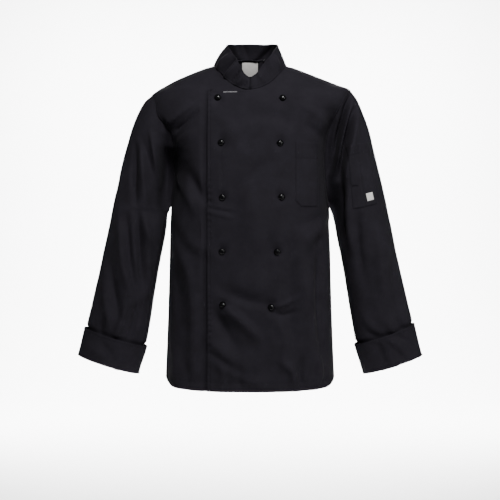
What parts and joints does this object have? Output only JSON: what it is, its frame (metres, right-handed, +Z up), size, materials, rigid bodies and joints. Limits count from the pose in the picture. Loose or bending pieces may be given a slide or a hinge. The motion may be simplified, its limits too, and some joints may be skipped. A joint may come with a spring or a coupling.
{
  "type": "chef jacket",
  "caption": "Hollow long-sleeved double-breasted chef jacket as worn, with a stand collar, turned-back cuffs, stud buttons, a chest pocket and a sleeve pocket.",
  "frame": {"origin": "midway between the two shoulder points beside the neck, where the jacket hangs on its wearer", "axes": "+X to the wearer's left, +Y to the back, +Z up; the front faces -Y"},
  "size_m": [0.8158, 0.264, 0.8141],
  "materials": {
    "black_twill": "matt woven twill",
    "black_plastic": "polished",
    "white_woven_label": "smooth woven tape"
  },
  "bodies": {
    "root": {"left_front": "black_twill", "right_front": "black_twill", "back": "black_twill", "left_sleeve": "black_twill", "right_sleeve": "black_twill", "left_cuff": "black_twill", "right_cuff": "black_twill", "collar": "black_twill", "chest_pocket": "black_twill", "sleeve_pocket": "black_twill", "sleeve_tag": "white_woven_label", "neck_label": "white_woven_label", "stud_right_1": "black_plastic", "stud_right_2": "black_plastic", "stud_right_3": "black_plastic", "stud_right_4": "black_plastic", "stud_right_5": "black_plastic", "stud_left_1": "black_plastic", "stud_left_2": "black_plastic", "stud_left_3": "black_plastic", "stud_left_4": "black_plastic", "stud_left_5": "black_plastic"}
  },
  "joints": []
}
